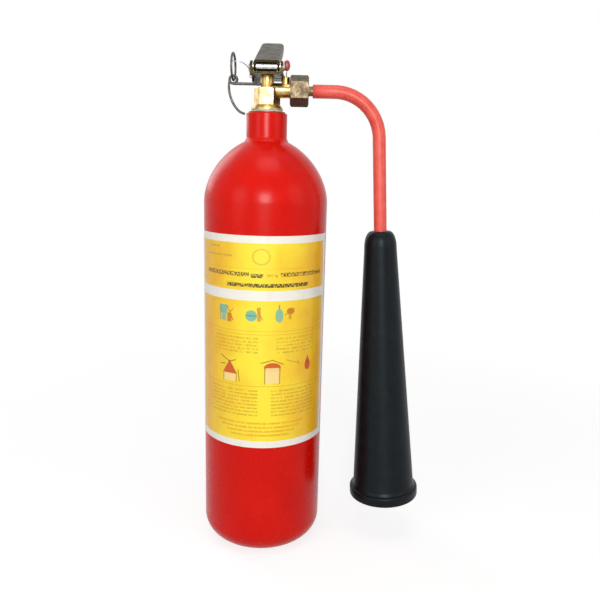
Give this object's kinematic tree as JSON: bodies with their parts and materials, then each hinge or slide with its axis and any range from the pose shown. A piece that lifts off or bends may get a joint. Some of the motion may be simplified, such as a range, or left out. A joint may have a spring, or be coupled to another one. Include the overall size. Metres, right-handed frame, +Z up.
{
  "type": "portable carbon dioxide fire extinguisher",
  "caption": "Red steel gas cylinder with a brass squeeze-lever valve, safety pin and seal, a bent swivelling discharge tube and a long black conical horn.",
  "frame": {"origin": "centre of the cylinder's flat foot, on the surface the extinguisher stands on", "axes": "+Z up along the cylinder's axis, +X towards the discharge horn, +Y along the squeeze lever and the handle"},
  "size_m": [0.2143, 0.1569, 0.4866],
  "materials": {
    "red_paint": "gloss",
    "label": "satin",
    "brass": "polished",
    "dark_plating": "satin",
    "bronze_plating": "satin",
    "bright_steel": "satin",
    "aluminium": "satin",
    "nylon": "matt",
    "rubber": "matt",
    "horn_plastic": "satin",
    "seal_plastic": "satin"
  },
  "bodies": {
    "root": {"cylinder_shell": "red_paint", "label_wrap": "label", "retainer_ring": "bright_steel", "neck_seal": "nylon", "valve_body": "brass", "burst_disc": "bright_steel", "burst_disc_plug": "brass", "stem_oring": "rubber", "stem_bush": "brass", "valve_spring": "bright_steel", "dip_tube_holder": "brass", "dip_tube": "aluminium", "carry_handle": "dark_plating", "pivot_rivet": "bright_steel", "pivot_washer_right": "bright_steel", "pivot_washer_left": "bright_steel", "handle_lock_nut": "brass", "seal_wire": "bright_steel", "seal_tag": "seal_plastic", "union_nut": "bronze_plating", "outlet_gasket": "rubber"},
    "lever": {"squeeze_lever": "dark_plating"},
    "rod": {"push_rod": "bright_steel", "valve_poppet": "brass", "seat_disc": "nylon"},
    "pin": {"safety_pin": "bright_steel"},
    "ring": {"pull_ring": "bright_steel"},
    "swivel": {"swivel_nipple": "bright_steel", "discharge_tube": "red_paint", "horn": "horn_plastic", "horn_lock_nut": "bright_steel", "horn_jet": "brass"}
  },
  "joints": [
    {"name": "lever_squeeze", "type": "hinge", "parent": "root", "child": "lever", "pos_m": [0, -0.012, 0.4486], "axis": [-1, 0, 0], "range_deg": [0, 12]},
    {"name": "rod_slide", "type": "slide", "parent": "root", "child": "rod", "axis": [0, 0, -1], "range_m": [0, 0.0028], "stiffness_N_per_m": 150, "springref_m": -0.005, "deforming": ["valve_spring"]},
    {"name": "pin_slide", "type": "slide", "parent": "root", "child": "pin", "axis": [-1, 0, 0], "range_m": [0, 0.045]},
    {"name": "ring_swing", "type": "hinge", "parent": "pin", "child": "ring", "pos_m": [-0.0305, 0, 0.438], "axis": [0, -1, 0], "range_deg": [0, 150]},
    {"name": "horn_swivel", "type": "hinge", "parent": "root", "child": "swivel", "pos_m": [0.0374, 0, 0.43], "axis": [1, 0, 0], "continuous": true}
  ],
  "couplings": [
    {"joint": "rod_slide", "follows": "lever_squeeze", "m_per_rad": 0.0129}
  ]
}
